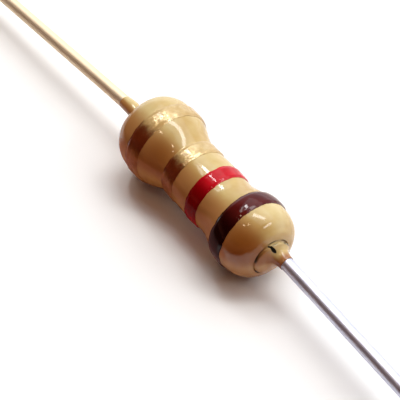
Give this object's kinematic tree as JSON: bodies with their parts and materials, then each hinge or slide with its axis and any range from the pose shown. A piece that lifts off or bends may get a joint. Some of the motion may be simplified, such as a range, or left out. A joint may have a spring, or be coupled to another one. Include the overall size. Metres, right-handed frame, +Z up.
{
  "type": "axial resistor",
  "caption": "Through-hole carbon film resistor with a tan dog-bone body, brown, red, gold and gold colour bands, and long tinned wire leads that droop to the surface it lies on.",
  "frame": {"origin": "on the surface that the resistor lies on, under the middle of the box round the whole part, so within 0.1 mm of under the body's middle", "axes": "+X along the body from the tolerance-band end to the first-digit end, +Y across it, +Z up from the surface"},
  "size_m": [0.0564, 0.0026, 0.0027],
  "materials": {
    "alumina": "fired white ceramic, matt, inside",
    "carbon": "deposited carbon film with a helical trimming cut, satin, inside",
    "tinned_cap": "pressed steel with a thin tin plate, inside",
    "tinned_wire": "bright hot-tinned copper-clad steel wire with faint drawing lines",
    "tan_lacquer": "glossy, slightly clear tan epoxy lacquer, uneven in thickness",
    "brown_paint": "glossy brown marking paint",
    "red_paint": "glossy red marking paint",
    "gold_paint": "clear marking paint full of gold metal flake, glossy"
  },
  "bodies": {
    "root": {"ceramic_core": "alumina", "carbon_film": "carbon", "end_cap_far": "tinned_cap", "end_cap_near": "tinned_cap", "lead_far": "tinned_wire", "lead_near": "tinned_wire", "lacquer_coat": "tan_lacquer", "band_brown": "brown_paint", "band_red": "red_paint", "band_gold_multiplier": "gold_paint", "band_gold_tolerance": "gold_paint"}
  },
  "joints": []
}
